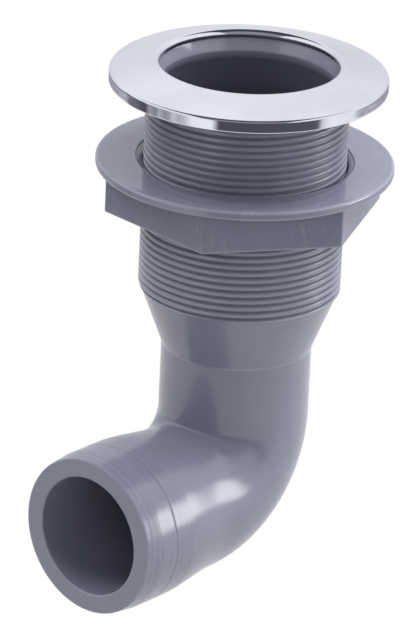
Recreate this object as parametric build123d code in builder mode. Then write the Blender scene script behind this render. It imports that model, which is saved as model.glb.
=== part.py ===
from build123d import *

import os
from math import cos, radians, tan

# Waste pipe elbow: a flanged, threaded inlet above a tight 90 degree bend and a hose spigot.
# The thread axis is Z and the flange seats on a panel at z = 0, with its mouth above. The barrel
# hangs below the panel and the spigot points along -Y. All sizes are in millimetres.

# Pressed cap over the flange
cap_radius = 41.0
cap_sheet = 0.8
cap_rim_height = 3.9
cap_crown_angle = 15.0
cap_shoulder_break = 0.5
cap_rim_setback = 0.2
cap_clearance = 0.1

# Mouth: the cap's lip rolls down into it and the moulding funnels into the barrel
mouth_radius = 26.3
lip_roll = 1.3
lip_roll_inset = 0.4
lip_roll_drop = 0.5
lip_end_height = 5.2
funnel_gap = 0.3
throat_radius = 25.6
throat_top_height = 1.2
throat_depth = 1.7

# Threaded barrel, cone and straight tube
thread_radius = 30.0
thread_end_depth = 63.4
thread_end_chamfer = 0.7
barrel_bore_radius = 25.2
cone_end_depth = 81.3
tube_radius = 22.4
tube_bore_radius = 18.1

# Bend and flared hose spigot
crotch_radius = 0.6
outlet_depth = 125.3
outlet_reach = 63.5
tip_length = 6.2
tip_radius = 23.8
land_length = 13.5
land_radius = 24.5
flare_end_angle = 3.5
spigot_edge_chamfer = 0.4

# Flanged hexagon nut on the thread
nut_clearance = 0.3
nut_top_depth = 22.9
nut_disc_radius = 44.0
nut_disc_thickness = 2.7
nut_across_flats = 72.4
nut_hexagon_depth = 12.4
nut_countersink = 2.0
nut_turn = -5.5

# Places that follow from the sizes above
bend_radius = tube_radius + crotch_radius
bend_start_depth = outlet_depth - bend_radius
cap_allowance = cap_sheet + cap_clearance
flange_radius = cap_radius - cap_allowance
lip_outside_radius = mouth_radius + cap_sheet
lip_bore_radius = mouth_radius + cap_allowance
rim_inside_radius = cap_radius - cap_sheet
shoulder_radius = cap_radius - cap_shoulder_break
lip_start_radius = mouth_radius + lip_roll
funnel_top_height = lip_end_height - funnel_gap
tip_start = outlet_reach - tip_length
land_start = tip_start - land_length
nut_bottom_depth = nut_top_depth + nut_disc_thickness + nut_hexagon_depth


def crown_height(radius, below=0.0):
    """Height of the cap's conical crown at a radius, or of the cone that lies below it."""
    outside = cap_rim_height + (cap_radius - radius) * tan(radians(cap_crown_angle))
    return outside - below / cos(radians(cap_crown_angle))


thread_axis = Axis.Z
bend_axis = Axis((0, -bend_radius, -bend_start_depth), (-1, 0, 0))
outlet_axis = Axis((0, 0, -outlet_depth), (0, -1, 0))
bend_plane = Plane.XY.offset(-bend_start_depth)
outlet_plane = Plane(origin=(0, 0, -outlet_depth), x_dir=(0, -1, 0), z_dir=(-1, 0, 0))

os.makedirs("parts", exist_ok=True)

# Elbow body: flange, barrel, cone, bend and spigot in one moulding, hollow from mouth to outlet
with BuildPart() as elbow_body:
    with BuildSketch(Plane.XZ):
        with BuildLine():
            Polyline(
                (0, crown_height(lip_bore_radius, cap_allowance)),
                (lip_bore_radius, crown_height(lip_bore_radius, cap_allowance)),
                (flange_radius, crown_height(flange_radius, cap_allowance)),
                (flange_radius, 0),
                (thread_radius, 0),
                (thread_radius, thread_end_chamfer - thread_end_depth),
                (thread_radius - thread_end_chamfer, -thread_end_depth),
                (tube_radius, -cone_end_depth),
                (tube_radius, -bend_start_depth),
                (0, -bend_start_depth),
                close=True,
            )
        make_face()
    revolve(axis=thread_axis)

    with BuildSketch(bend_plane):
        Circle(tube_radius)
    revolve(axis=bend_axis, revolution_arc=90)

    with BuildSketch(outlet_plane):
        with BuildLine():
            Line((bend_radius, 0), (bend_radius, tube_radius))
            Spline(
                (bend_radius, tube_radius),
                (land_start, land_radius),
                tangents=[(1, 0), (1, tan(radians(flare_end_angle)))],
            )
            Polyline(
                (land_start, land_radius),
                (tip_start, land_radius),
                (outlet_reach, tip_radius),
                (outlet_reach, 0),
                (bend_radius, 0),
            )
        make_face()
    revolve(axis=outlet_axis)

    # Waterway: mouth funnel, barrel, cone and tube, then the bend and the outlet
    with BuildSketch(Plane.XZ):
        with BuildLine():
            Polyline(
                (0, crown_height(0)),
                (lip_bore_radius, crown_height(0)),
                (lip_bore_radius, funnel_top_height),
                (throat_radius, throat_top_height),
                (throat_radius, -throat_depth),
                (barrel_bore_radius, -throat_depth),
                (barrel_bore_radius, -thread_end_depth),
                (tube_bore_radius, -cone_end_depth),
                (tube_bore_radius, -bend_start_depth),
                (0, -bend_start_depth),
                close=True,
            )
        make_face()
    revolve(axis=thread_axis, mode=Mode.SUBTRACT)

    with BuildSketch(bend_plane):
        Circle(tube_bore_radius)
    revolve(axis=bend_axis, revolution_arc=90, mode=Mode.SUBTRACT)

    with BuildSketch(outlet_plane):
        with Locations((bend_radius, 0)):
            Rectangle(outlet_reach - bend_radius, tube_bore_radius, align=Align.MIN)
    revolve(axis=outlet_axis, mode=Mode.SUBTRACT)

    outlet_rims = elbow_body.faces().sort_by(Axis.Y)[0].edges().sort_by(SortBy.RADIUS)
    chamfer(outlet_rims[-1], spigot_edge_chamfer)

elbow_body.part.label = "elbow_body"
export_step(elbow_body.part, "parts/elbow_body.step")

# Flange cap: one pressed sheet, turned down over the flange's rim and rolled into the mouth
with BuildPart() as flange_cap:
    with BuildSketch(Plane.XZ):
        with BuildLine():
            Polyline(
                (lip_start_radius, crown_height(lip_start_radius)),
                (mouth_radius + lip_roll_inset, crown_height(mouth_radius) - lip_roll_drop),
                (mouth_radius, crown_height(mouth_radius) - lip_roll),
                (mouth_radius, lip_end_height),
                (lip_outside_radius, lip_end_height),
                (lip_outside_radius, crown_height(lip_outside_radius, cap_sheet)),
                (rim_inside_radius, crown_height(rim_inside_radius, cap_sheet)),
                (rim_inside_radius, cap_rim_setback),
                (cap_radius, cap_rim_setback),
                (cap_radius, cap_rim_height - cap_shoulder_break),
                (shoulder_radius, crown_height(shoulder_radius)),
                close=True,
            )
        make_face()
    revolve(axis=thread_axis)

flange_cap.part.label = "flange_cap"
export_step(flange_cap.part, "parts/flange_cap.step")

# Back nut: a thin disc and a hexagon in one moulding, countersunk where it meets the panel
with BuildPart() as back_nut:
    with BuildSketch(Plane.XY.offset(-nut_top_depth)):
        Circle(nut_disc_radius)
    extrude(amount=-nut_disc_thickness)
    with BuildSketch(Plane.XY.offset(-nut_bottom_depth)):
        RegularPolygon(nut_across_flats / 2, 6, major_radius=False, rotation=nut_turn)
    extrude(amount=nut_hexagon_depth)
    with BuildSketch(Plane.XY.offset(-nut_top_depth)):
        Circle(thread_radius + nut_clearance)
    extrude(amount=nut_top_depth - nut_bottom_depth, mode=Mode.SUBTRACT)
    top_edges = back_nut.faces().sort_by(Axis.Z)[-1].edges().sort_by(SortBy.RADIUS)
    chamfer(top_edges[0], nut_countersink)

back_nut.part.label = "back_nut"
export_step(back_nut.part, "parts/back_nut.step")
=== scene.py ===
"""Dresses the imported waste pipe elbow: a grey moulding with a cut thread, its back nut and a bright cap."""
import logging
import math
from dataclasses import dataclass
from enum import Enum
from typing import Any, Callable, Mapping, Sequence, Union

import bmesh
import bpy
import numpy as np
from mathutils import Matrix, Vector


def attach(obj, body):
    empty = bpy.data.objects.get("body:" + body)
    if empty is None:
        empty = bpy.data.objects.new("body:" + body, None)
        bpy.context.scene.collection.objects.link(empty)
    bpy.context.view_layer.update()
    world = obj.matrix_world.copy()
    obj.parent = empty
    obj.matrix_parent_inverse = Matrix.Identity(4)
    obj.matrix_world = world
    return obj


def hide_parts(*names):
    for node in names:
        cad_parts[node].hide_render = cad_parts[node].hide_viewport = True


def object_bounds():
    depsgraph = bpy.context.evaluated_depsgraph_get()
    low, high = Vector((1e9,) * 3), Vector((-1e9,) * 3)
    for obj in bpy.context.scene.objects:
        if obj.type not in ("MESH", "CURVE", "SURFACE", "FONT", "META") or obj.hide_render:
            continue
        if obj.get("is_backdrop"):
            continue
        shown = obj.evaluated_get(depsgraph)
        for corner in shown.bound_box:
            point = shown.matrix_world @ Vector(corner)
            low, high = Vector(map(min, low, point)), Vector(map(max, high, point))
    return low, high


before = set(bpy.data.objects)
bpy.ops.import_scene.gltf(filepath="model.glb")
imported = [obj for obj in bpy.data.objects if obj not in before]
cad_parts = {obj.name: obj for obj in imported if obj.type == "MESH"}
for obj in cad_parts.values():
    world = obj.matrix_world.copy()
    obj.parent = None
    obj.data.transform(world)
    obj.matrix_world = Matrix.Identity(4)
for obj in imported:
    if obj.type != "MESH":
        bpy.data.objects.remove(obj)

LOG = logging.getLogger("waste_pipe_elbow")
MM = 0.001
Colour = tuple[float, float, float]
Band = tuple[float, float]
WHITE: Colour = (1.0, 1.0, 1.0)
Value = Union["Sig", float, int, bool, str, Sequence[float], bpy.types.ID]


class Body(Enum):
    """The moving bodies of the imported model."""

    FITTING = "fitting"
    NUT = "nut"


class Slot(Enum):
    """The record's material slots."""

    GREY_PLASTIC = "grey_plastic"
    BRIGHT_METAL = "bright_metal"


class Shape(Enum):
    """The outline of one ring of a section."""

    ROUND = "round"
    HEXAGON = "hexagon"


class ThreadSide(Enum):
    """Which way a thread is cut: into the outside of a barrel or into the wall of a bore."""

    OUTSIDE = 1.0
    INSIDE = -1.0


# Node sheets: one wrapper for sockets and one for trees


@dataclass(frozen=True)
class Sig:
    """An output socket of a node sheet; arithmetic on it adds Math nodes."""

    sheet: "NodeSheet"
    socket: bpy.types.NodeSocket

    def _math(self, operation: str, first: Value, second: Value = 0.0) -> "Sig":
        """Adds one Math node.

        Args:
            operation: The Math node's operation.
            first: The first value or link.
            second: The second value or link.

        Returns:
            The node's result.
        """
        return self.sheet.node("ShaderNodeMath", {"operation": operation}, {0: first, 1: second})

    def __add__(self, other: Value) -> "Sig":
        """self + other."""
        return self._math("ADD", self, other)

    def __radd__(self, other: Value) -> "Sig":
        """other + self."""
        return self._math("ADD", other, self)

    def __sub__(self, other: Value) -> "Sig":
        """self - other."""
        return self._math("SUBTRACT", self, other)

    def __rsub__(self, other: Value) -> "Sig":
        """other - self."""
        return self._math("SUBTRACT", other, self)

    def __mul__(self, other: Value) -> "Sig":
        """self * other."""
        return self._math("MULTIPLY", self, other)

    def __rmul__(self, other: Value) -> "Sig":
        """other * self."""
        return self._math("MULTIPLY", other, self)

    def __truediv__(self, other: Value) -> "Sig":
        """self / other."""
        return self._math("DIVIDE", self, other)

    def __rtruediv__(self, other: Value) -> "Sig":
        """other / self."""
        return self._math("DIVIDE", other, self)

    def __neg__(self) -> "Sig":
        """-self."""
        return self._math("MULTIPLY", self, -1.0)

    def __abs__(self) -> "Sig":
        """The size of self without its sign."""
        return self._math("ABSOLUTE", self)

    def least(self, other: Value) -> "Sig":
        """The smaller of self and other."""
        return self._math("MINIMUM", self, other)

    def most(self, other: Value) -> "Sig":
        """The larger of self and other."""
        return self._math("MAXIMUM", self, other)

    def fraction(self) -> "Sig":
        """The part of self after the point."""
        return self._math("FRACT", self)

    def angle(self, across: "Sig") -> "Sig":
        """The angle of the point whose sides are across and self."""
        return self._math("ARCTAN2", self, across)

    def span(self, other: "Sig") -> "Sig":
        """The distance whose sides are self and other."""
        return self._math("SQRT", self * self + other * other)

    def above(self, limit: Value) -> "Sig":
        """1 where self is over the limit, else 0."""
        return self._math("GREATER_THAN", self, limit)

    def below(self, limit: Value) -> "Sig":
        """1 where self is under the limit, else 0."""
        return self._math("LESS_THAN", self, limit)

    def ramp(self, low: Value, high: Value, start: Value = 0.0, end: Value = 1.0) -> "Sig":
        """Rises smoothly with self.

        Args:
            low: Where the rise starts.
            high: Where the rise ends.
            start: The result at low.
            end: The result at high.

        Returns:
            The result, held at its ends.
        """
        return self.sheet.node(
            "ShaderNodeMapRange",
            {"interpolation_type": "SMOOTHSTEP"},
            {"Value": self, "From Min": low, "From Max": high, "To Min": start, "To Max": end},
        )

    def fall(self, low: Value, high: Value) -> "Sig":
        """Falls smoothly with self, from 1 at low to 0 at high."""
        return self.ramp(low, high, 1.0, 0.0)

    def out(self, name: str | int) -> "Sig":
        """Another output of the same node."""
        return Sig(self.sheet, self.socket.node.outputs[name])


class NodeSheet:
    """Builds nodes in one tree."""

    def __init__(self, tree: bpy.types.NodeTree) -> None:
        """Takes the tree to build in and empties it."""
        self.tree = tree
        self.tree.nodes.clear()

    def node(
        self,
        kind: str,
        settings: Mapping[str, Any] | None = None,
        sockets: Mapping[str | int, Value] | None = None,
        out: str | int = 0,
    ) -> Sig:
        """Adds a node.

        Args:
            kind: The node's type.
            settings: Properties set first; "stops" fills a ramp with place and colour pairs.
            sockets: Values or links for the node's inputs.
            out: The output to return.

        Returns:
            The chosen output, or the first input's wrapper for a node with no outputs.
        """
        made = self.tree.nodes.new(kind)
        for key, value in (settings or {}).items():
            if key == "stops":
                self._stops(made.color_ramp, value)
            else:
                setattr(made, key, value)
        for key, value in (sockets or {}).items():
            if isinstance(value, Sig):
                self.tree.links.new(value.socket, made.inputs[key])
            else:
                made.inputs[key].default_value = value
        return Sig(self, made.outputs[out] if len(made.outputs) else made.inputs[0])

    @staticmethod
    def _stops(ramp: bpy.types.ColorRamp, stops: Sequence[tuple[float, Colour]]) -> None:
        """Fills a colour ramp.

        Args:
            ramp: The ramp of a new node, with its two first stops.
            stops: Places from 0 to 1 and linear colours, in order.
        """
        while len(ramp.elements) < len(stops):
            ramp.elements.new(1.0)
        for element, (place, colour) in zip(ramp.elements, stops):
            element.position = place
            element.color = (*colour, 1.0)

    def mix(self, share: Value, first: Value, second: Value) -> Sig:
        """Mixes two colours.

        Args:
            share: How much of the second colour shows, from 0 to 1.
            first: The first colour or its link.
            second: The second colour or its link.

        Returns:
            The mixed colour.
        """
        return self.node(
            "ShaderNodeMix",
            {"data_type": "RGBA", "clamp_factor": True},
            {0: share, 6: _rgba(first), 7: _rgba(second)},
            out=2,
        )

    def noise(self, place: Sig, scale: float, detail: float = 2.0, roughness: float = 0.5) -> Sig:
        """Noise over the surface.

        Args:
            place: The coordinates that it reads.
            scale: Cells to the metre.
            detail: Octaves.
            roughness: How strong the finer octaves are.

        Returns:
            A value about 0.5.
        """
        return self.node(
            "ShaderNodeTexNoise",
            {"noise_dimensions": "3D"},
            {"Vector": place, "Scale": scale, "Detail": detail, "Roughness": roughness},
        )

    def split(self, place: Sig) -> tuple[Sig, Sig, Sig]:
        """The three sides of a vector."""
        across = self.node("ShaderNodeSeparateXYZ", None, {0: place}, out="X")
        return across, across.out("Y"), across.out("Z")

    def along(self, way: Sig, direction: Vector) -> Sig:
        """How far a vector points in a direction."""
        sides = {0: way, 1: direction}
        return self.node("ShaderNodeVectorMath", {"operation": "DOT_PRODUCT"}, sides, out="Value")

    def attribute(self, name: str) -> Sig:
        """A number kept on the mesh's points."""
        return self.node("ShaderNodeAttribute", {"attribute_name": name}, out="Fac")


def _rgba(value: Value) -> Value:
    """Gives a plain colour its alpha, and leaves links alone."""
    return value if isinstance(value, Sig) else (*value, 1.0)


def new_material(name: str) -> tuple[bpy.types.Material, NodeSheet]:
    """Makes a node material.

    Args:
        name: The material's name.

    Returns:
        The material and its empty sheet.
    """
    made = bpy.data.materials.new(name)
    made.use_nodes = True
    return made, NodeSheet(made.node_tree)


# Sections and ring meshes


@dataclass(frozen=True)
class Corner:
    """A corner of a section, in millimetres: its place along the axis, its radius and its rounding."""

    along: float
    radius: float
    edge: float = 0.0
    shape: Shape = Shape.ROUND
    # inside: rings on the waterway, which the moulding's finish paints in shade.
    inside: bool = False


@dataclass(frozen=True)
class Station:
    """One ring of a finished section, with the share of an edge that it lies on."""

    along: float
    radius: float
    shape: Shape = Shape.ROUND
    edge: float = 0.0
    inside: bool = False


@dataclass
class Section:
    """A closed section that turns corners into rings."""

    corners: list[Corner]
    steps: int = 4
    support: float = 0.3

    def stations(self, spacing: Callable[[float, float], float]) -> list[Station]:
        """Rounds the corners and divides what lies between them.

        Args:
            spacing: The widest ring spacing at a place along the axis and a radius.

        Returns:
            The rings in order round the section.
        """
        rounded = self._rounded()
        result: list[Station] = []
        for here, there in zip(rounded, rounded[1:] + rounded[:1]):
            length = math.hypot(there.along - here.along, there.radius - here.radius)
            middle = (here.along + there.along) / 2, (here.radius + there.radius) / 2
            count = max(1, math.ceil(length / spacing(*middle)))
            result.append(here)
            for step in range(1, count if here.shape is there.shape else 1):
                share = step / count
                result.append(
                    Station(
                        here.along + (there.along - here.along) * share,
                        here.radius + (there.radius - here.radius) * share,
                        here.shape,
                        here.edge + (there.edge - here.edge) * share,
                        here.inside and there.inside,
                    )
                )
        return result

    def _rounded(self) -> list[Station]:
        """Replaces each corner that has an edge by an arc with a support ring at both sides.

        Returns:
            The rings at the corners, in order round the section.
        """
        count = len(self.corners)
        points = [Vector((corner.along, corner.radius)) for corner in self.corners]
        sides = [points[(index + 1) % count] - points[index] for index in range(count)]
        openings = [sides[index].angle(-sides[index - 1]) for index in range(count)]
        wanted = [corner.edge / math.tan(opening / 2) for corner, opening in zip(self.corners, openings)]
        room = [
            min(1.0, 0.9 * sides[index].length / max(wanted[index] + wanted[(index + 1) % count], 1e-9))
            for index in range(count)
        ]
        reaches = [wanted[index] * min(room[index], room[index - 1]) for index in range(count)]
        result: list[Station] = []
        for index, corner in enumerate(self.corners):
            if corner.edge == 0.0:
                result.append(Station(corner.along, corner.radius, corner.shape, 0.0, corner.inside))
                continue
            back, ahead = -sides[index - 1].normalized(), sides[index].normalized()
            reach, opening = reaches[index], openings[index]
            first, last = points[index] + back * reach, points[index] + ahead * reach
            heart = points[index] + (back + ahead).normalized() * (reach / math.cos(opening / 2))
            spare_back = sides[index - 1].length - reach - reaches[index - 1]
            spare_ahead = sides[index].length - reach - reaches[(index + 1) % count]
            before = first + back * min(self.support, 0.3 * spare_back)
            after = last + ahead * min(self.support, 0.3 * spare_ahead)
            result.append(Station(before.x, before.y, corner.shape, 0.0, corner.inside))
            for step in range(self.steps + 1):
                share = step / self.steps
                arm = (first - heart).slerp(last - heart, share)
                spot = heart + arm.normalized() * (first - heart).length
                result.append(Station(spot.x, spot.y, corner.shape, math.sin(math.pi * share), corner.inside))
            result.append(Station(after.x, after.y, corner.shape, 0.0, corner.inside))
        return result


def ring_object(name: str, rings: np.ndarray, stations: Sequence[Station]) -> bpy.types.Object:
    """Makes a closed, ring-shaped mesh.

    Args:
        name: The object's name.
        rings: Points in metres, by ring and place round the ring.
        stations: The section's stations, one for each ring.

    Returns:
        The object at the origin, with its faces outwards and "edge" and "inside" attributes.
    """
    count, around = rings.shape[:2]
    here = np.arange(count)[:, None] * around
    there = ((np.arange(count) + 1) % count)[:, None] * around
    place = np.arange(around)[None, :]
    beside = (place + 1) % around
    quads = np.stack([here + place, here + beside, there + beside, there + place], axis=-1)
    mesh = bpy.data.meshes.new(name)
    mesh.from_pydata(rings.reshape(-1, 3).tolist(), [], quads.reshape(-1, 4).tolist())
    for label in ("edge", "inside"):
        marks = mesh.attributes.new(label, "FLOAT", "POINT")
        values = np.array([float(getattr(station, label)) for station in stations], np.float32)
        marks.data.foreach_set("value", np.repeat(values, around))
    turned = bmesh.new()
    turned.from_mesh(mesh)
    bmesh.ops.recalc_face_normals(turned, faces=turned.faces)
    if turned.calc_volume(signed=True) < 0:
        bmesh.ops.reverse_faces(turned, faces=turned.faces)
    turned.to_mesh(mesh)
    turned.free()
    mesh.polygons.foreach_set("use_smooth", [True] * len(mesh.polygons))
    mesh.update()
    made = bpy.data.objects.new(name, mesh)
    bpy.context.scene.collection.objects.link(made)
    return made


# The thread, cut by Geometry Nodes


@dataclass(frozen=True)
class ThreadCut:
    """A right-hand screw thread cut into a round wall about the Z axis, in millimetres."""

    radius: float
    start: float
    end: float
    side: ThreadSide
    pitch: float = 2.17
    depth: float = 0.92
    root: float = 0.04
    crest: float = 0.60
    fade: float = 0.7
    reach: float = 1.0

    def cut(self, piece: bpy.types.Object, material: bpy.types.Material) -> None:
        """Cuts the thread and leaves a plain mesh with a "groove" attribute.

        Args:
            piece: The object whose wall is cut.
            material: The finish that the tree sets on it.
        """
        sizes = {
            "Radius": self.radius * MM,
            "Start": self.start * MM,
            "End": self.end * MM,
            "Side": self.side.value,
            "Pitch": self.pitch * MM,
            "Depth": self.depth * MM,
            "Root": self.root,
            "Crest": self.crest,
            "Fade": self.fade * MM,
            "Reach": self.reach * MM,
        }
        values: dict[str, Any] = {**sizes, "Material": material}
        group = self._tree(f"{piece.name}_thread", list(sizes))
        modifier = piece.modifiers.new("thread", "NODES")
        modifier.node_group = group
        for item in group.interface.items_tree:
            if item.item_type == "SOCKET" and item.in_out == "INPUT" and item.name in values:
                modifier[item.identifier] = values[item.name]
        graph = bpy.context.evaluated_depsgraph_get()
        cut = bpy.data.meshes.new_from_object(piece.evaluated_get(graph))
        plain = piece.data
        piece.modifiers.remove(modifier)
        piece.data = cut
        cut.name = piece.name
        bpy.data.meshes.remove(plain)

    @staticmethod
    def _tree(name: str, labels: Sequence[str]) -> bpy.types.NodeTree:
        """Builds the tree that moves the wall's points in and out along the helix.

        Args:
            name: The tree's name.
            labels: Names of its sizes.

        Returns:
            The tree, with the sizes and the material as its inputs.
        """
        group = bpy.data.node_groups.new(name, "GeometryNodeTree")
        face = group.interface
        face.new_socket("Geometry", in_out="INPUT", socket_type="NodeSocketGeometry")
        for label in labels:
            face.new_socket(label, in_out="INPUT", socket_type="NodeSocketFloat")
        face.new_socket("Material", in_out="INPUT", socket_type="NodeSocketMaterial")
        face.new_socket("Geometry", in_out="OUTPUT", socket_type="NodeSocketGeometry")
        sheet = NodeSheet(group)
        given = sheet.node("NodeGroupInput", out="Geometry")
        size = given.out
        across, along, height = sheet.split(sheet.node("GeometryNodeInputPosition"))
        depth = -height
        radius = across.span(along)
        turn = along.angle(across) / (2 * math.pi)
        wave = abs((depth / size("Pitch") + turn).fraction() - 0.5) * 2.0
        groove = 1.0 - wave.ramp(size("Root"), size("Crest"))
        run_in = depth.ramp(size("Start"), size("Start") + size("Fade"))
        run_out = 1.0 - depth.ramp(size("End") - size("Fade"), size("End"))
        cut = groove * run_in * run_out
        side = size("Side")
        wall = (side * radius).least(side * size("Radius") - size("Depth") * cut) * side
        near = abs(radius - size("Radius")).below(size("Reach"))
        inside = near * depth.above(size("Start")) * depth.below(size("End"))
        scale = wall / radius
        sides = {"X": across * scale, "Y": along * scale, "Z": height}
        moved = sheet.node("ShaderNodeCombineXYZ", None, sides)
        kept = sheet.node(
            "GeometryNodeStoreNamedAttribute",
            {"data_type": "FLOAT", "domain": "POINT"},
            {"Geometry": given, "Name": "groove", "Value": cut * inside},
        )
        places = {"Geometry": kept, "Selection": inside, "Position": moved}
        shaped = sheet.node("GeometryNodeSetPosition", None, places)
        real = sheet.node("GeometryNodeRealizeInstances", None, {"Geometry": shaped})
        finish = {"Geometry": real, "Material": size("Material")}
        dressed = sheet.node("GeometryNodeSetMaterial", None, finish)
        sheet.node("NodeGroupOutput", None, {"Geometry": dressed})
        return group


# Finishes


@dataclass(frozen=True)
class MouldedGrey:
    """Satin cool-grey moulded plastic with clouded colour, pale rounded edges that are partly rubbed wear and
    partly a painted edge highlight, and painted shade in the thread roots and in the waterway.
    """

    name: str
    body: Colour = (0.215, 0.222, 0.298)
    # Pale colour for rubbed marks and for painted light: edge highlights, the funnel, the thread crests and
    # the nut's rim.
    pale: Colour = (0.328, 0.335, 0.415)
    # Painted shade for the thread roots and for the waterway inside.
    painted_shade: Colour = (0.080, 0.083, 0.120)
    roughness: float = 0.20
    index: float = 1.7
    tone_spread: float = 0.14
    cloud_scale: float = 38.0
    mottle_scale: float = 330.0
    grain_scale: float = 2100.0
    rub_scale: float = 140.0
    rub_share: float = 0.15
    groove_shade_share: float = 0.04
    relief: float = 0.0004
    relief_strength: float = 0.04

    def material(self) -> bpy.types.Material:
        """Builds the node material.

        Returns:
            The material, for a mesh with "edge" and "inside" attributes.
        """
        made, sheet = new_material(self.name)
        place = sheet.node("ShaderNodeTexCoord", out="Object")
        edge, groove, inside = (sheet.attribute(name) for name in ("edge", "groove", "inside"))
        cloud = sheet.noise(place, self.cloud_scale, 3.0, 0.55)
        mottle = sheet.noise(place, self.mottle_scale, 3.0, 0.6)
        grain = sheet.noise(place, self.grain_scale, 2.0, 0.6)
        uneven, spotty = cloud - 0.5, mottle - 0.5
        lines, marks = self._lines(sheet, place), self._wear_and_painted_light(sheet, place)
        dark, light = (tuple(c * (1.0 + way * self.tone_spread) for c in self.body) for way in (-1, 1))
        base = sheet.mix(0.5 + uneven * 0.9 + spotty * 0.35 + lines * 2.2, dark, light)
        # Pale rubbed marks, with the painted light that the finishes below add to them.
        base = sheet.mix(marks, base, self.pale)
        # Paler rounded edges: partly rubbed wear, partly a painted edge highlight; none in the waterway.
        base = sheet.mix(edge * (1.0 - inside) * (0.25 + 0.5 * mottle), base, self.pale)
        # Painted shade: the thread roots a little darker, the waterway inside fully darker.
        base = sheet.mix((groove * self.groove_shade_share).most(inside), base, self.painted_shade)
        rough = self.roughness + uneven * 0.08 + spotty * 0.08 + marks * 0.02 + abs(lines) * 0.10
        rough = rough - self._gloss(sheet, place)
        height = grain * 0.35 + mottle * 0.3 + cloud * 0.2 + lines * 9.0
        relief = {"Strength": self.relief_strength, "Distance": self.relief, "Height": height}
        bump = sheet.node("ShaderNodeBump", None, relief)
        shader = sheet.node(
            "ShaderNodeBsdfPrincipled",
            None,
            {"Base Color": base, "Roughness": rough, "Normal": bump, "IOR": self.index},
        )
        sheet.node("ShaderNodeOutputMaterial", None, {"Surface": shader})
        return made

    def _lines(self, sheet: NodeSheet, place: Sig) -> Sig | float:
        """Fine ring lines, about 0; none on the plain moulding."""
        return 0.0

    def _gloss(self, sheet: NodeSheet, place: Sig) -> Sig | float:
        """How much smoother the surface is at a place; alike all over the plain moulding."""
        return 0.0

    def _wear_and_painted_light(self, sheet: NodeSheet, place: Sig) -> Sig:
        """Pale rubbed marks, from 0 to 1."""
        return sheet.noise(place, self.rub_scale, 5.0, 0.65).ramp(0.55, 0.80) * self.rub_share


@dataclass(frozen=True)
class TurnedGrey(MouldedGrey):
    """The elbow's plastic, with the tool's fine rings on its spigot and cone; places in metres."""

    land_reach: float = 0.0438
    outlet_depth: float = 0.1253
    spigot_radius: float = 0.0238
    thread_end: float = 0.0634
    funnel_radius: float = 0.0275
    crest_radius: float = 0.0299
    ring_scale: float = 950.0
    funnel_gloss: float = 0.08
    # Painted light on the funnel, whose slope faces up inside the mouth.
    funnel_painted_light: float = 0.6
    # Painted highlight on the thread crests.
    crest_painted_highlight: float = 0.4
    cone_share: float = 0.7

    def _lines(self, sheet: NodeSheet, place: Sig) -> Sig | float:
        """Ring lines along the spigot's land and tip and at the top of the cone.

        Args:
            sheet: The material's sheet.
            place: Object coordinates.

        Returns:
            The lines, about 0.
        """
        across, along, height = sheet.split(place)
        reach, depth = -along, -height
        away = across.span(depth - self.outlet_depth)
        outside = away.ramp(self.spigot_radius - 0.0010, self.spigot_radius - 0.0004)
        on_spigot = reach.ramp(self.land_reach - 0.0006, self.land_reach + 0.0004) * outside
        on_cone = depth.ramp(self.thread_end - 0.0004, self.thread_end)
        on_cone = on_cone * depth.fall(self.thread_end + 0.002, self.thread_end + 0.007)
        return self._rings(sheet, reach) * on_spigot + self._rings(sheet, depth) * on_cone * self.cone_share

    def _rings(self, sheet: NodeSheet, way: Sig) -> Sig:
        """Uneven lines across one direction, about 0."""
        line = sheet.node("ShaderNodeCombineXYZ", None, {"X": way})
        return sheet.noise(line, self.ring_scale, 3.0, 0.65) - 0.5

    def _funnel(self, sheet: NodeSheet, place: Sig) -> Sig:
        """Finds the funnel in the mouth.

        Args:
            sheet: The material's sheet.
            place: Object coordinates.

        Returns:
            1 on the funnel, else 0.
        """
        across, along, height = sheet.split(place)
        within = across.span(along).fall(self.funnel_radius, self.funnel_radius + 0.0004)
        return height.ramp(0.0006, 0.0018) * within

    def _gloss(self, sheet: NodeSheet, place: Sig) -> Sig | float:
        """The funnel is smooth enough to mirror the studio."""
        return self._funnel(sheet, place) * self.funnel_gloss

    def _wear_and_painted_light(self, sheet: NodeSheet, place: Sig) -> Sig:
        """The moulding's rubbed marks, with painted light on the funnel and a painted highlight on the thread
        crests.

        Args:
            sheet: The material's sheet.
            place: Object coordinates.

        Returns:
            The marks, from 0 to 1.
        """
        across, along, height = sheet.split(place)
        depth = -height
        run_out = depth.fall(self.thread_end, self.thread_end + 0.0005)
        # Painted highlight on the crests of the barrel's thread, above its run-out.
        crest = across.span(along).ramp(self.crest_radius - 0.0007, self.crest_radius)
        crest = crest * depth.ramp(0.0005, 0.0012) * run_out
        # Painted light on the funnel.
        funnel = self._funnel(sheet, place)
        rubbed = super()._wear_and_painted_light(sheet, place)
        return rubbed.most(funnel * self.funnel_painted_light).most(crest * self.crest_painted_highlight)


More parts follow.
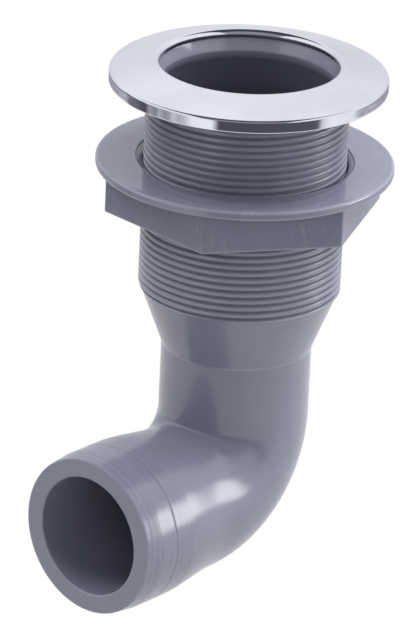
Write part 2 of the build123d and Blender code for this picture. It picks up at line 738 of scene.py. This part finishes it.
@dataclass(frozen=True)
class ScuffedGrey(MouldedGrey):
    """The nut's plastic, scuffed by a wrench, with a trimmed gate on its disc; places in metres."""

    gate_angle: float = -47.4
    gate_radius: float = 0.044
    gate_depth: float = 0.0232
    hexagon_top: float = 0.0256
    stroke_scale: float = 480.0
    patch_scale: float = 75.0
    torn_scale: float = 900.0
    scuff: float = 0.5
    # Painted light on the upright rim of the disc.
    rim_painted_light: float = 0.3
    disc_top: float = 0.0229
    disc_gloss: float = 0.11

    def _gloss(self, sheet: NodeSheet, place: Sig) -> Sig | float:
        """The disc's face is smooth enough to mirror the barrel."""
        _, _, height = sheet.split(place)
        return height.ramp(-self.disc_top - 0.0004, -self.disc_top - 0.0001) * self.disc_gloss

    def _wear_and_painted_light(self, sheet: NodeSheet, place: Sig) -> Sig:
        """Short upright strokes in patches, painted light on the disc's rim and the gate's spot.

        Args:
            sheet: The material's sheet.
            place: Object coordinates.

        Returns:
            The marks, from 0 to 1.
        """
        leaning = {"Vector": place, "Rotation": (0.25, 0.2, 0.0), "Scale": (1.0, 1.0, 0.22)}
        upright = sheet.node("ShaderNodeMapping", None, leaning)
        strokes = sheet.noise(upright, self.stroke_scale, 3.0, 0.6).ramp(0.50, 0.72)
        patches = sheet.noise(place, self.patch_scale, 2.0, 0.5).ramp(0.44, 0.62)
        turned = math.radians(self.gate_angle)
        spot = (self.gate_radius * math.cos(turned), self.gate_radius * math.sin(turned), -self.gate_depth)
        away = sheet.node("ShaderNodeVectorMath", {"operation": "DISTANCE"}, {0: place, 1: spot}, out="Value")
        across, along, height = sheet.split(place)
        level = abs(height + self.gate_depth).fall(0.0003, 0.0007)
        torn = sheet.noise(place, self.torn_scale, 2.0, 0.6).ramp(0.35, 0.55)
        gate = away.fall(0.0012, 0.0027) * level * torn
        on_hexagon = (-height).ramp(self.hexagon_top - 0.0003, self.hexagon_top + 0.0003)
        # Painted light on the disc's rim.
        rim = across.span(along).ramp(self.gate_radius - 0.0006, self.gate_radius - 0.0002)
        return (strokes * patches * on_hexagon * self.scuff).most(rim * self.rim_painted_light).most(gate)


@dataclass(frozen=True)
class PolishedSheet:
    """Bright plated sheet with faint turning marks and a slight unevenness in its mirror."""

    name: str
    bright: Colour = (0.81, 0.815, 0.885)
    dull: Colour = (0.73, 0.735, 0.80)
    roughness: float = 0.05
    lathe_scale: float = 3200.0
    cloud_scale: float = 45.0
    wave_scale: float = 150.0
    relief: float = 0.0006
    relief_strength: float = 0.06

    def material(self) -> bpy.types.Material:
        """Builds the node material.

        Returns:
            The material.
        """
        made, sheet = new_material(self.name)
        place = sheet.node("ShaderNodeTexCoord", out="Object")
        across, along, height = sheet.split(place)
        out, up = across.span(along) * self.lathe_scale, height * self.lathe_scale
        turned = {"X": out, "Y": along.angle(across) * 1.6, "Z": up}
        marks = sheet.noise(sheet.node("ShaderNodeCombineXYZ", None, turned), 1.0, 3.0, 0.7)
        cloud = sheet.noise(place, self.cloud_scale, 2.0, 0.5)
        wave = sheet.noise(place, self.wave_scale, 2.0, 0.5)
        base = sheet.mix((cloud * 0.85 + marks * 0.15).ramp(0.35, 0.75), self.bright, self.dull)
        rough = self.roughness + marks.ramp(0.45, 0.8) * 0.04 + (cloud - 0.5) * 0.03
        bumps = wave + marks * 0.03
        relief = {"Strength": self.relief_strength, "Distance": self.relief, "Height": bumps}
        bump = sheet.node("ShaderNodeBump", None, relief)
        shader = sheet.node(
            "ShaderNodeBsdfPrincipled",
            None,
            {"Base Color": base, "Roughness": rough, "Normal": bump, "Metallic": 1.0},
        )
        sheet.node("ShaderNodeOutputMaterial", None, {"Surface": shader})
        return made


# The pieces


@dataclass(frozen=True)
class CapSizes:
    """Sizes of the pressed cap, which the moulding's flange fits, in millimetres."""

    radius: float = 41.0
    sheet: float = 0.8
    rim_height: float = 3.9
    crown_angle: float = 15.0
    shoulder: float = 0.75
    setback: float = 0.2
    clearance: float = 0.1
    mouth_radius: float = 26.3
    lip_round: float = 1.5
    lip_end: float = 5.2

    def crown(self, radius: float, below: float = 0.0) -> float:
        """Height of the crown at a radius.

        Args:
            radius: Distance from the thread axis.
            below: How far under the crown's outside.

        Returns:
            The height over the flange's seat.
        """
        slope = math.radians(self.crown_angle)
        return self.rim_height + (self.radius - radius) * math.tan(slope) - below / math.cos(slope)


@dataclass
class ElbowBody:
    """The grey moulding: flange, threaded barrel, cone, tight bend and flared spigot in one."""

    cap: CapSizes
    node: str = "elbow_body"
    around: int = 160
    funnel_gap: float = 0.3
    funnel_ledge: float = 0.5
    throat_radius: float = 25.6
    throat_top: float = 1.2
    throat_depth: float = 1.7
    throat_step: float = 7.0
    thread_radius: float = 30.0
    thread_end: float = 63.4
    thread_chamfer: float = 0.7
    barrel_bore: float = 25.2
    cone_end: float = 81.3
    tube_radius: float = 22.4
    tube_bore: float = 18.1
    crotch_radius: float = 0.6
    outlet_depth: float = 125.3
    outlet_reach: float = 63.5
    tip_length: float = 6.2
    tip_radius: float = 23.8
    land_length: float = 13.5
    land_radius: float = 24.5
    flare_angle: float = 3.5
    groove_setback: float = 12.3
    groove_width: float = 0.9
    groove_depth: float = 0.15
    thread_start: float = 1.2
    thread_margin: float = 0.1
    thread_spacing: float = 0.18
    bend_spacing: float = 0.9
    bore_spacing: float = 1.6
    plain_spacing: float = 6.0

    @property
    def bend_radius(self) -> float:
        """Radius of the bend's centreline."""
        return self.tube_radius + self.crotch_radius

    @property
    def bend_start(self) -> float:
        """Place along the axis where the bend starts."""
        return self.outlet_depth - self.bend_radius

    @property
    def bend_end(self) -> float:
        """Place along the axis where the bend ends."""
        return self.bend_start + math.pi / 2 * self.bend_radius

    @property
    def land_start(self) -> float:
        """Place along the axis where the spigot's land starts."""
        return self.reached(self.outlet_reach - self.tip_length - self.land_length)

    def reached(self, reach: float) -> float:
        """Place along the axis of a point of the spigot at its reach from the thread axis."""
        return self.bend_end + reach - self.bend_radius

    def build(self) -> bpy.types.Object:
        """Builds the moulding before its thread is cut.

        Returns:
            The object, with its place in its mesh.
        """
        stations = self._section().stations(self._spacing)
        angles = np.linspace(0.0, 2 * math.pi, self.around, endpoint=False)
        rings = np.array([self._ring(station, angles) for station in stations])
        return ring_object("grey_elbow", rings * MM, stations)

    def dress(self, piece: bpy.types.Object, material: bpy.types.Material) -> None:
        """Cuts the thread, attaches the piece to the fitting's body and hides its CAD node.

        Args:
            piece: The moulding.
            material: Its finish.
        """
        end = self.thread_end - self.thread_margin
        ThreadCut(self.thread_radius, self.thread_start, end, ThreadSide.OUTSIDE).cut(piece, material)
        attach(piece, Body.FITTING.value)
        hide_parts(self.node)

    def _spacing(self, along: float, radius: float) -> float:
        """The widest ring spacing: fine on the thread, close on the bend, wide elsewhere.

        Args:
            along: Place along the axis.
            radius: Distance from the axis.

        Returns:
            The spacing in millimetres.
        """
        if radius > self.barrel_bore + 2.0 and 0.5 < along < self.thread_end:
            return self.thread_spacing
        if self.bend_start <= along <= self.bend_end:
            return self.bend_spacing if radius > self.tube_bore + 1.0 else self.bore_spacing
        return self.plain_spacing

    def _ring(self, station: Station, angles: np.ndarray) -> np.ndarray:
        """Points of one ring of the bent pipe.

        Args:
            station: The ring's place and radius.
            angles: Places round the ring.

        Returns:
            The points in millimetres.
        """
        side, out = station.radius * np.cos(angles), station.radius * np.sin(angles)
        if station.along <= self.bend_start:
            return np.stack([side, out, np.full_like(side, -station.along)], axis=-1)
        turn = min((station.along - self.bend_start) / self.bend_radius, math.pi / 2)
        past = max(station.along - self.bend_end, 0.0)
        arm = self.bend_radius + out
        across = -self.bend_radius + arm * math.cos(turn) - past
        return np.stack([side, across, -self.bend_start - arm * math.sin(turn)], axis=-1)

    def _section(self) -> Section:
        """The moulding's section from the mouth, down the outside and back up the waterway.

        Returns:
            The section, along the bent axis.
        """
        cap = self.cap
        hidden = cap.sheet + cap.clearance
        flange = cap.radius - hidden
        mouth = cap.mouth_radius + hidden
        corners = [
            Corner(-cap.crown(mouth, hidden), mouth, edge=0.5),
            Corner(-cap.crown(flange, hidden), flange, edge=0.3),
            Corner(0.0, flange, edge=0.3),
            Corner(0.0, self.thread_radius, edge=0.3),
            Corner(self.thread_end - self.thread_chamfer, self.thread_radius, edge=0.15),
            Corner(self.thread_end, self.thread_radius - self.thread_chamfer, edge=0.2),
            Corner(self.cone_end, self.tube_radius, edge=2.5),
            Corner(self.bend_start, self.tube_radius),
            Corner(self.bend_end, self.tube_radius),
            *self._flare(),
            Corner(self.land_start, self.land_radius, edge=0.6),
            Corner(self.reached(self._groove(-0.5)), self.land_radius, edge=0.12),
            Corner(self.reached(self._groove(0.0)), self.land_radius - self.groove_depth, edge=0.1),
            Corner(self.reached(self._groove(0.5)), self.land_radius, edge=0.12),
            Corner(self.reached(self.outlet_reach - self.tip_length), self.land_radius, edge=0.8),
            Corner(self.reached(self.outlet_reach), self.tip_radius, edge=0.45),
            Corner(self.reached(self.outlet_reach), self.tube_bore, edge=0.5),
            Corner(self.bend_end, self.tube_bore),
            Corner(self.bend_start, self.tube_bore),
            Corner(self.cone_end, self.tube_bore, edge=2.0),
            Corner(self.thread_end, self.barrel_bore, edge=2.0, inside=True),
            Corner(self.throat_depth + self.throat_step, self.barrel_bore, edge=0.4, inside=True),
            Corner(self.throat_depth, self.throat_radius, edge=0.4, inside=True),
            Corner(-self.throat_top, self.throat_radius, edge=1.8),
            Corner(self.funnel_gap - cap.lip_end, mouth - self.funnel_ledge, edge=0.1),
            Corner(self.funnel_gap - cap.lip_end, mouth, edge=0.05),
        ]
        return Section(corners)

    def _groove(self, half: float) -> float:
        """Reach of a point of the ring groove, from -0.5 to 0.5 across it."""
        return self.outlet_reach - self.groove_setback + self.groove_width * half

    def _flare(self, count: int = 10) -> list[Corner]:
        """Points of the curve on which the spigot widens from the bend to its land.

        Args:
            count: Divisions of the curve.

        Returns:
            The curve's inner points.
        """
        start = Vector((self.bend_end, self.tube_radius))
        end = Vector((self.land_start, self.land_radius))
        length = (end - start).length
        slope = math.radians(self.flare_angle)
        leave, arrive = Vector((length, 0.0)), Vector((math.cos(slope), math.sin(slope))) * length
        result = []
        for step in range(1, count):
            u = step / count
            spot = start * (2 * u**3 - 3 * u**2 + 1) + leave * (u**3 - 2 * u**2 + u)
            spot += end * (3 * u**2 - 2 * u**3) + arrive * (u**3 - u**2)
            result.append(Corner(spot.x, spot.y))
        return result


@dataclass
class FlangeCap:
    """The pressed, plated cap over the flange, rolled into the mouth."""

    cap: CapSizes
    node: str = "flange_cap"
    around: int = 224
    spacing: float = 2.5

    def build(self) -> bpy.types.Object:
        """Builds the cap.

        Returns:
            The object, with its place in its mesh.
        """
        stations = self._section().stations(lambda along, radius: self.spacing)
        angles = np.linspace(0.0, 2 * math.pi, self.around, endpoint=False)
        circle = np.stack([np.cos(angles), np.sin(angles), np.zeros_like(angles)], axis=-1)
        up = np.array([0.0, 0.0, 1.0])
        rings = np.array([circle * station.radius + up * station.along for station in stations])
        return ring_object("bright_cap", rings * MM, stations)

    def dress(self, piece: bpy.types.Object, material: bpy.types.Material) -> None:
        """Gives the cap its finish, attaches it to the fitting's body and hides its CAD node.

        Args:
            piece: The cap.
            material: Its finish.
        """
        piece.data.materials.append(material)
        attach(piece, Body.FITTING.value)
        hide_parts(self.node)

    def _section(self) -> Section:
        """The sheet's section: rim, crown and rolled lip outside, and the same inside.

        Returns:
            The section, along the thread axis from the flange's seat.
        """
        cap = self.cap
        inner_lip = cap.mouth_radius + cap.sheet
        inner_rim = cap.radius - cap.sheet
        corners = [
            Corner(cap.setback, cap.radius, edge=0.4),
            Corner(cap.rim_height, cap.radius, edge=cap.shoulder),
            Corner(cap.crown(cap.mouth_radius), cap.mouth_radius, edge=cap.lip_round),
            Corner(cap.lip_end, cap.mouth_radius, edge=0.2),
            Corner(cap.lip_end, inner_lip, edge=0.2),
            Corner(cap.crown(inner_lip, cap.sheet), inner_lip, edge=0.4),
            Corner(cap.crown(inner_rim, cap.sheet), inner_rim, edge=0.1),
            Corner(cap.setback, inner_rim, edge=0.15),
        ]
        return Section(corners, steps=8)


@dataclass
class BackNut:
    """The flanged hexagon nut, countersunk at its top and threaded through."""

    node: str = "back_nut"
    side_points: int = 36
    bore: float = 30.3
    top: float = 22.9
    disc_radius: float = 44.0
    disc_thickness: float = 2.7
    across_flats: float = 72.4
    hexagon_depth: float = 12.4
    countersink: float = 2.0
    countersink_step: float = 0.4
    countersink_inset: float = 0.2
    countersink_slope: float = 0.7
    turn: float = -5.5
    corner_round: float = 0.9
    thread_run_in: float = 0.6
    thread_run_out: float = 0.4
    thread_spacing: float = 0.2
    plain_spacing: float = 4.0

    @property
    def under(self) -> float:
        """Depth of the disc's underside."""
        return self.top + self.disc_thickness

    @property
    def bottom(self) -> float:
        """Depth of the hexagon's underside."""
        return self.under + self.hexagon_depth

    def build(self) -> bpy.types.Object:
        """Builds the nut before its thread is cut.

        Returns:
            The object, with its place in its mesh.
        """
        stations = self._section().stations(self._spacing)
        angles = self._angles()
        rings = []
        for station in stations:
            radius = np.full_like(angles, station.radius)
            if station.shape is Shape.HEXAGON:
                radius = self._hexagon(angles, station.radius)
            turned = angles + math.radians(self.turn + 30.0)
            height = np.full_like(angles, -station.along)
            rings.append(np.stack([radius * np.cos(turned), radius * np.sin(turned), height], axis=-1))
        return ring_object("grey_back_nut", np.array(rings) * MM, stations)

    def dress(self, piece: bpy.types.Object, material: bpy.types.Material) -> None:
        """Cuts the bore's thread, attaches the nut to its body and hides its CAD node.

        Args:
            piece: The nut.
            material: Its finish.
        """
        start, end = self.top + self.thread_run_in, self.bottom - self.thread_run_out
        ThreadCut(self.bore, start, end, ThreadSide.INSIDE).cut(piece, material)
        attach(piece, Body.NUT.value)
        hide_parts(self.node)

    def _spacing(self, along: float, radius: float) -> float:
        """The widest ring spacing: fine in the bore, wide elsewhere."""
        return self.thread_spacing if radius < self.bore + 0.1 else self.plain_spacing

    def _angles(self) -> np.ndarray:
        """Places round the nut, closer together at the hexagon's corners.

        Returns:
            The angles, six sides one after another.
        """
        share = np.linspace(-1.0, 1.0, self.side_points, endpoint=False)
        one = np.radians(30.0) * np.sin(share * math.pi / 2)
        return np.concatenate([one + side * math.pi / 3 for side in range(6)])

    def _hexagon(self, angles: np.ndarray, apothem: float) -> np.ndarray:
        """Distance of a hexagon with rounded corners from its centre.

        Args:
            angles: Directions, with a flat's middle at each multiple of 60 degrees.
            apothem: Half the size across the flats.

        Returns:
            The distances.
        """
        sixth = math.pi / 3
        off = np.abs((angles + sixth / 2) % sixth - sixth / 2)
        inner = apothem - self.corner_round
        start = math.atan2(inner * math.tan(sixth / 2), apothem)
        middle = inner / math.cos(sixth / 2)
        away = sixth / 2 - off
        root = np.sqrt(np.maximum(self.corner_round**2 - (middle * np.sin(away)) ** 2, 0.0))
        return np.where(off > start, middle * np.cos(away) + root, apothem / np.cos(off))

    def _section(self) -> Section:
        """The nut's section: countersink, disc, hexagon and bore.

        Returns:
            The section, along the thread axis downwards.
        """
        flat = self.across_flats / 2
        shelf = self.bore + self.countersink - self.countersink_inset
        corners = [
            Corner(self.top, self.bore + self.countersink, edge=0.2),
            Corner(self.top, self.disc_radius, edge=0.9),
            Corner(self.under, self.disc_radius, edge=0.6),
            Corner(self.under, flat, edge=0.3, shape=Shape.HEXAGON),
            Corner(self.bottom, flat, edge=0.45, shape=Shape.HEXAGON),
            Corner(self.bottom, self.bore, edge=0.3),
            Corner(self.top + self.countersink_slope * self.countersink, self.bore, edge=0.2),
            Corner(self.top + self.countersink_step, shelf, edge=0.12),
        ]
        return Section(corners)


# The studio


@dataclass(frozen=True)
class Softbox:
    """A rectangular lamp that looks at the object, placed by its angles from the camera's side."""

    name: str
    azimuth: float
    elevation: float
    power: float
    width: float = 0.7
    height: float = 0.7
    distance: float = 1.3
    mirrored: bool = False


@dataclass(frozen=True)
class Backdrop:
    """What a mirror sees of the studio: levels round the horizon, and darker bands over them.

    Each level comes after its place, which runs from 0 to 1 with the camera's side at 0.5. A band
    says where something starts and is full, or starts to end and is gone: parts of a direction of
    length 1, or turns away from the camera's side.
    """

    white: Colour = (0.97, 0.975, 1.0)
    shade: Colour = (0.86, 0.83, 1.16)
    dark: Colour = (0.06, 0.06, 0.085)
    low_grey: Colour = (0.74, 0.745, 0.79)
    horizon_grey: Colour = (0.24, 0.24, 0.27)
    sky: Band = (-0.05, 0.05)
    low_top: Band = (0.1, 0.75)
    low_side: Band = (0.30, 0.38)
    low_share: float = 0.85
    strip_left: Band = (-0.66, -0.56)
    strip_right: Band = (0.48, 0.58)
    strip_back: Band = (-0.55, -0.45)
    strip_front: Band = (0.50, 0.66)
    strip_front_share: float = 0.75
    strip_foot: Band = (-0.05, 0.02)
    horizon_foot: Band = (-0.37, -0.34)
    horizon_top: Band = (-0.27, -0.23)
    horizon_side: Band = (0.26, 0.30)
    levels: tuple[tuple[float, float], ...] = (
        (0.0, 1.0), (0.16, 1.0), (0.18, 0.10), (0.245, 0.10), (0.255, 0.42), (0.275, 0.28), (0.285, 0.55),
        (0.30, 0.36), (0.315, 0.45), (0.325, 0.72), (0.34, 0.52), (0.355, 0.66), (0.37, 0.95), (0.42, 1.0),
        (0.435, 0.09), (0.66, 0.11), (0.668, 0.18), (0.68, 0.75), (0.70, 1.0), (1.0, 1.0),
    )

    def colour(self, sheet: NodeSheet, right: Vector, toward: Vector) -> Sig:
        """Builds the colour of each direction.

        Args:
            sheet: The world's sheet.
            right: The level direction to the camera's right.
            toward: The level direction towards the camera.

        Returns:
            The colour.
        """
        way = sheet.node("ShaderNodeTexCoord", out="Generated")
        sideways, forwards = sheet.along(way, right), sheet.along(way, toward)
        _, _, height = sheet.split(way)
        turn = sideways.angle(forwards) / (2 * math.pi) + 0.5
        aside = abs(turn - 0.5)
        stops = [(place, self._tinted(level)) for place, level in self.levels]
        ring = sheet.node("ShaderNodeValToRGB", {"stops": stops}, {"Fac": turn}, out="Color")
        seen = sheet.mix(height.ramp(*self.sky), ring, self.white)
        low_behind = height.fall(*self.low_top) * aside.ramp(*self.low_side)
        seen = sheet.mix(low_behind * self.low_share, seen, self.low_grey)
        strip = sideways.ramp(*self.strip_left) * sideways.fall(*self.strip_right)
        strip = strip * forwards.ramp(*self.strip_back)
        strip = strip * forwards.ramp(*self.strip_front, 1.0, self.strip_front_share)
        seen = sheet.mix(strip * height.ramp(*self.strip_foot), seen, self.dark)
        horizon = height.ramp(*self.horizon_foot) * height.fall(*self.horizon_top)
        return sheet.mix(horizon * aside.ramp(*self.horizon_side), seen, self.horizon_grey)

    def _tinted(self, level: float) -> Colour:
        """A grey of the studio: tinted like the shade when dark, like the white when bright."""
        share = (1.0 - level) ** 2
        return tuple(level * (high + (low - high) * share) for low, high in zip(self.shade, self.white))


@dataclass
class Studio:
    """Camera, lamps, world and floor."""

    azimuth: float = 40.4
    elevation: float = 22.63
    roll: float = 2.63
    aim_right: float = -0.00836
    aim_height: float = -0.0727
    distance: float = 1.7848
    focal_pixels: float = 6007.7
    frame_height: float = 625.0
    sensor_width: float = 36.0
    far_clip: float = 50.0
    floor_drop: float = 0.060
    floor_radius: float = 0.42
    floor_melt: Band = (0.55, 0.95)
    floor_tone: Colour = (0.55, 0.55, 0.55)
    floor_seen_white: float = 0.93
    floor_least_white: float = 0.25
    ambient: Colour = (0.30, 0.30, 0.308)
    backdrop: Backdrop = Backdrop()
    lamps: tuple[Softbox, ...] = (
        Softbox("right_softbox", 94.0, 7.0, 5.1, width=0.62, height=0.50, mirrored=True),
        Softbox("right_high_softbox", 90.0, 58.0, 4.6),
        Softbox("back_high_softbox", 130.0, 50.0, 13.5),
        Softbox("top_softbox", 0.0, 88.0, 4.5),
        Softbox("front_softbox", 0.0, 30.0, 2.1),
        Softbox("left_high_softbox", -105.0, 47.0, 8.0),
    )

    def _axes(self) -> tuple[Vector, Vector, Vector]:
        """Finds the camera's directions.

        Returns:
            The level directions to its right and towards it, and the direction of its back.
        """
        angle, rise = math.radians(self.azimuth), math.radians(self.elevation)
        right = Vector((math.cos(angle), math.sin(angle), 0.0))
        toward = Vector((math.sin(angle), -math.cos(angle), 0.0))
        return right, toward, toward * math.cos(rise) + Vector((0.0, 0.0, math.sin(rise)))

    def build(self, bright_piece: bpy.types.Object) -> None:
        """Sets the camera, lamps, world and floor.

        Args:
            bright_piece: The mirror-like piece, which mirrors the studio but no lamp.
        """
        scene = bpy.context.scene
        scene.view_settings.view_transform = "Standard"
        self._camera(scene)
        for lamp in self.lamps:
            self._lamp(scene, lamp, bright_piece)
        self._world(scene)
        self._floor(scene)

    def _camera(self, scene: bpy.types.Scene) -> None:
        """Places the camera where the photograph was taken from.

        Args:
            scene: The scene that gets it.
        """
        right, _, back = self._axes()
        up = back.cross(right)
        tilt = math.radians(self.roll)
        leaned = right * math.cos(tilt) + up * math.sin(tilt)
        upright = up * math.cos(tilt) - right * math.sin(tilt)
        aim = right * self.aim_right + Vector((0.0, 0.0, self.aim_height))
        data = bpy.data.cameras.new("photo_camera")
        data.sensor_width = self.sensor_width
        data.lens = self.focal_pixels * self.sensor_width / self.frame_height
        data.clip_end = self.far_clip
        made = bpy.data.objects.new("photo_camera", data)
        turned = Matrix((leaned, upright, back)).transposed().to_4x4()
        made.matrix_world = Matrix.Translation(aim + back * self.distance) @ turned
        scene.collection.objects.link(made)
        scene.camera = made

    def _lamp(self, scene: bpy.types.Scene, lamp: Softbox, bright_piece: bpy.types.Object) -> None:
        """Places one softbox.

        Args:
            scene: The scene that gets it.
            lamp: Its place, size and power.
            bright_piece: The piece that doesn't mirror it.
        """
        right, toward, _ = self._axes()
        angle, rise = math.radians(lamp.azimuth), math.radians(lamp.elevation)
        level = toward * math.cos(angle) + right * math.sin(angle)
        away = level * math.cos(rise) + Vector((0.0, 0.0, math.sin(rise)))
        data = bpy.data.lights.new(lamp.name, "AREA")
        data.shape = "RECTANGLE"
        data.size, data.size_y = lamp.width, lamp.height
        data.energy = lamp.power
        made = bpy.data.objects.new(lamp.name, data)
        made.visible_glossy = lamp.mirrored
        made.location = Vector((0.0, 0.0, self.aim_height)) + away * lamp.distance
        made.rotation_mode = "QUATERNION"
        made.rotation_quaternion = (-away).to_track_quat("-Z", "Y")
        scene.collection.objects.link(made)
        unlit = bpy.data.collections.new(f"{lamp.name}_keeps_off")
        unlit.objects.link(bright_piece)
        unlit.collection_objects[0].light_linking.link_state = "EXCLUDE"
        made.light_linking.receiver_collection = unlit

    def _world(self, scene: bpy.types.Scene) -> None:
        """A white backdrop for what sees it, a plain level for what it lights.

        Args:
            scene: The scene that gets it.
        """
        right, toward, _ = self._axes()
        world = bpy.data.worlds.new("white_studio")
        scene.world = world
        world.use_nodes = True
        sheet = NodeSheet(world.node_tree)
        path = sheet.node("ShaderNodeLightPath", out="Is Camera Ray")
        mirror = path.out("Is Glossy Ray").most(path.out("Is Transmission Ray"))
        colour = sheet.mix(mirror, self.ambient, self.backdrop.colour(sheet, right, toward))
        colour = sheet.mix(path, colour, WHITE)
        shader = sheet.node("ShaderNodeBackground", None, {"Color": colour, "Strength": 1.0})
        sheet.node("ShaderNodeOutputWorld", None, {"Surface": shader})

    def _floor(self, scene: bpy.types.Scene) -> None:
        """A round pale floor under the object that melts into the white backdrop.

        Args:
            scene: The scene that gets it.
        """
        low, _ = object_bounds()
        mesh = bpy.data.meshes.new("pale_floor")
        plate = bmesh.new()
        bmesh.ops.create_circle(plate, cap_ends=True, segments=96, radius=self.floor_radius)
        bmesh.ops.translate(plate, verts=plate.verts, vec=(0.0, 0.0, low.z - self.floor_drop))
        plate.to_mesh(mesh)
        plate.free()
        floor = bpy.data.objects.new("pale_floor", mesh)
        scene.collection.objects.link(floor)
        made, sheet = new_material("pale_floor")
        across, along, _ = sheet.split(sheet.node("ShaderNodeTexCoord", out="Object"))
        seen = sheet.node("ShaderNodeLightPath", out="Is Camera Ray")
        melt = across.span(along).ramp(*(share * self.floor_radius for share in self.floor_melt))
        melt = melt.most(seen * self.floor_seen_white).most(self.floor_least_white)
        plain = sheet.node("ShaderNodeBsdfDiffuse", None, {"Color": _rgba(self.floor_tone)})
        white = sheet.node("ShaderNodeEmission", None, {"Color": _rgba(WHITE), "Strength": 1.0})
        shader = sheet.node("ShaderNodeMixShader", None, {0: melt, 1: plain, 2: white})
        sheet.node("ShaderNodeOutputMaterial", None, {"Surface": shader})
        mesh.materials.append(made)
        floor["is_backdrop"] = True


def main() -> None:
    """Builds the pieces and the studio in order."""
    logging.basicConfig(level=logging.INFO, format="%(name)s: %(message)s")
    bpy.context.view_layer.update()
    cap = CapSizes()
    moulded = TurnedGrey("grey_moulding").material()
    scuffed = ScuffedGrey("grey_nut_moulding").material()
    plated = PolishedSheet("plated_sheet").material()
    pieces: dict[str, bpy.types.Object] = {}
    for maker, finish in ((ElbowBody(cap), moulded), (BackNut(), scuffed), (FlangeCap(cap), plated)):
        piece = maker.build()
        maker.dress(piece, finish)
        pieces[maker.node] = piece
        LOG.info("%s: %d points, finish %s", piece.name, len(piece.data.vertices), finish.name)
    Studio().build(bright_piece=pieces[FlangeCap.node])


if __name__ == "__main__":
    main()
